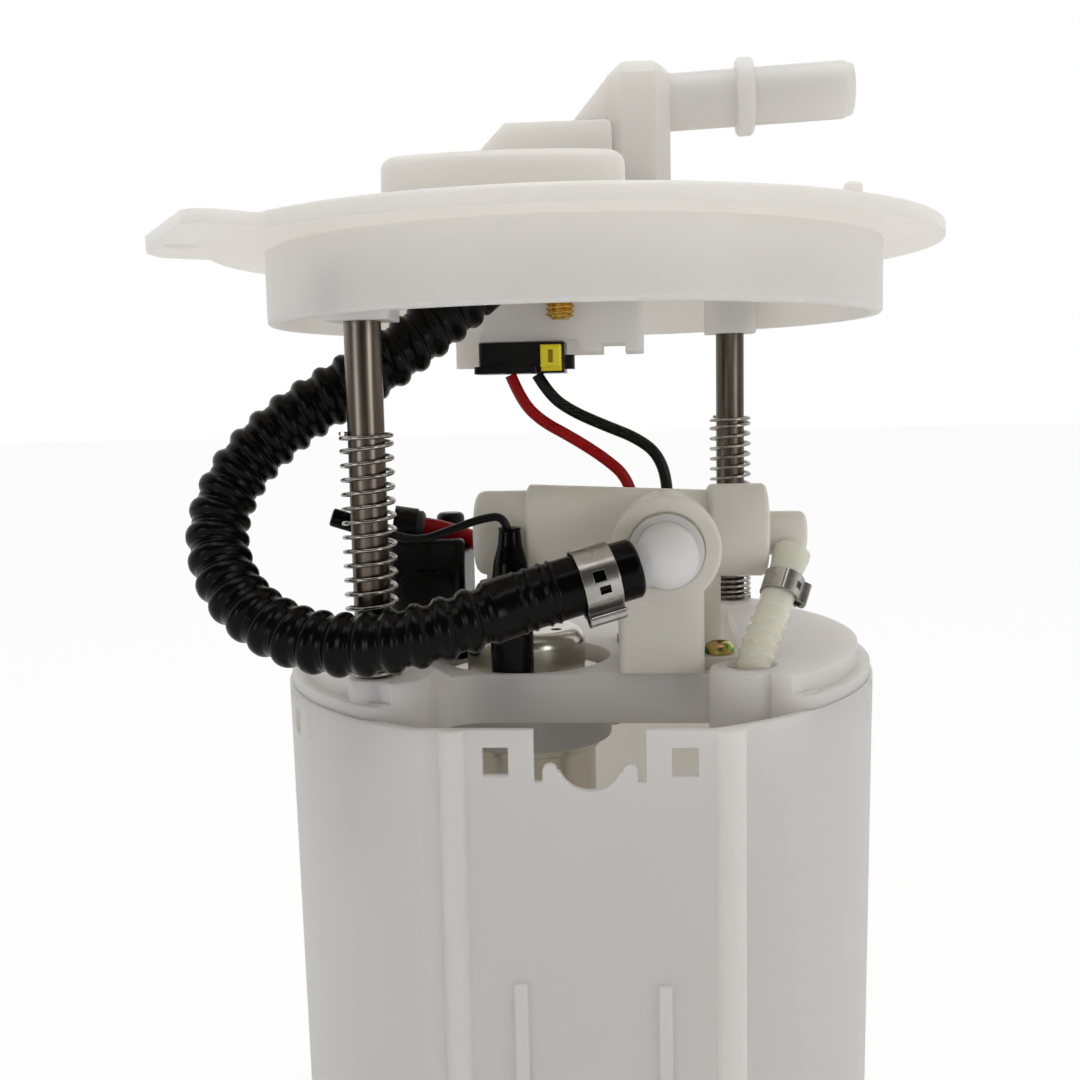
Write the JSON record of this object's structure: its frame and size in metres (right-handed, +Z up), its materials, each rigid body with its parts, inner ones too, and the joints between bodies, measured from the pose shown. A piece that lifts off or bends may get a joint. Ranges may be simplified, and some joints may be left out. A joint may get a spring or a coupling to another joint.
{
  "type": "fuel pump module",
  "caption": "In-tank fuel pump module: sprung flange on guide rods above a round reservoir, with outlet elbow, corrugated feed hose, valve housing and pump.",
  "frame": {"origin": "middle of the reservoir's foot circle, on the plane it stands on", "axes": "+Z up along the guide rods, -Y out of the reservoir's flat front panel, +X the way the outlet pipe points"},
  "size_m": [0.1624, 0.155, 0.2582],
  "materials": {
    "natural_acetal": "satin",
    "ivory_acetal": "satin",
    "white_nylon": "satin",
    "clear_polyamide": "satin",
    "black_elastomer": "satin",
    "black_plastic": "satin",
    "yellow_plastic": "gloss",
    "stainless_rod": "brushed",
    "spring_steel": "bright drawn",
    "clamp_steel": "rolled",
    "plated_steel": "dull plated",
    "yellow_zinc": "passivated",
    "brass": "machined",
    "tin_plate": "plated",
    "red_insulation": "satin",
    "black_insulation": "satin",
    "ferrite": "sintered",
    "winding_copper": "lacquered",
    "filter_mesh": "woven",
    "seal_rubber": "moulded"
  },
  "bodies": {
    "reservoir_unit": {"reservoir": "natural_acetal", "reservoir_cover": "natural_acetal", "valve_housing": "ivory_acetal", "check_valve_spring": "spring_steel", "spring_retainer": "white_nylon", "pressure_regulator": "plated_steel", "regulator_cap": "ivory_acetal", "cover_screw": "yellow_zinc", "feed_elbow": "white_nylon", "elbow_seal": "seal_rubber", "feed_hose": "black_elastomer", "lower_hose_clamp": "clamp_steel", "return_hose": "clear_polyamide", "return_hose_clamp": "clamp_steel", "pump_can": "plated_steel", "pump_top_cap": "plated_steel", "pump_inlet_cap": "black_plastic", "pump_magnets": "ferrite", "outlet_coupler": "seal_rubber", "pump_mount_ring": "white_nylon", "pump_band": "plated_steel", "pump_cradle": "seal_rubber", "inlet_strainer": "filter_mesh", "jet_pump": "black_plastic", "inlet_valve": "seal_rubber", "inlet_spider": "white_nylon", "terminal_boot": "black_elastomer", "terminal_post": "tin_plate", "lead_connector": "black_plastic", "lead_grommet": "seal_rubber", "wire_gland": "seal_rubber", "earth_wire_sleeve": "black_elastomer", "front_spring": "spring_steel", "rear_spring": "spring_steel", "red_wire": "red_insulation", "black_wire": "black_insulation", "earth_wire": "black_insulation", "red_lead": "red_insulation"},
    "flange_unit": {"flange": "natural_acetal", "outlet_elbow": "natural_acetal", "socket_terminals": "tin_plate", "earth_stud": "brass", "inner_plug": "black_plastic", "front_guide_rod": "stainless_rod", "rear_guide_rod": "stainless_rod", "rod_retaining_rings": "spring_steel"},
    "pump_rotor": {"pump_armature": "winding_copper", "pump_impeller": "black_plastic"},
    "check_valve_disc": {"check_valve_poppet": "white_nylon"},
    "plug_lock_slide": {"plug_lock": "yellow_plastic"}
  },
  "joints": [
    {"name": "flange_slide", "type": "slide", "parent": "reservoir_unit", "child": "flange_unit", "axis": [0, 0, 1], "range_m": [-0.025, 0], "deforming": ["feed_hose", "front_spring", "rear_spring", "red_wire", "black_wire"]},
    {"name": "pump_spin", "type": "hinge", "parent": "reservoir_unit", "child": "pump_rotor", "pos_m": [-0.0113, -0.007, 0.08], "axis": [0, 0, 1], "continuous": true},
    {"name": "check_valve_lift", "type": "slide", "parent": "reservoir_unit", "child": "check_valve_disc", "axis": [1, 0, 0], "range_m": [0, 0.002], "stiffness_N_per_m": 40, "springref_m": -0.002, "deforming": ["check_valve_spring"]},
    {"name": "plug_lock_slide", "type": "slide", "parent": "flange_unit", "child": "plug_lock_slide", "axis": [0, -1, 0], "range_m": [0, 0.0025]}
  ]
}
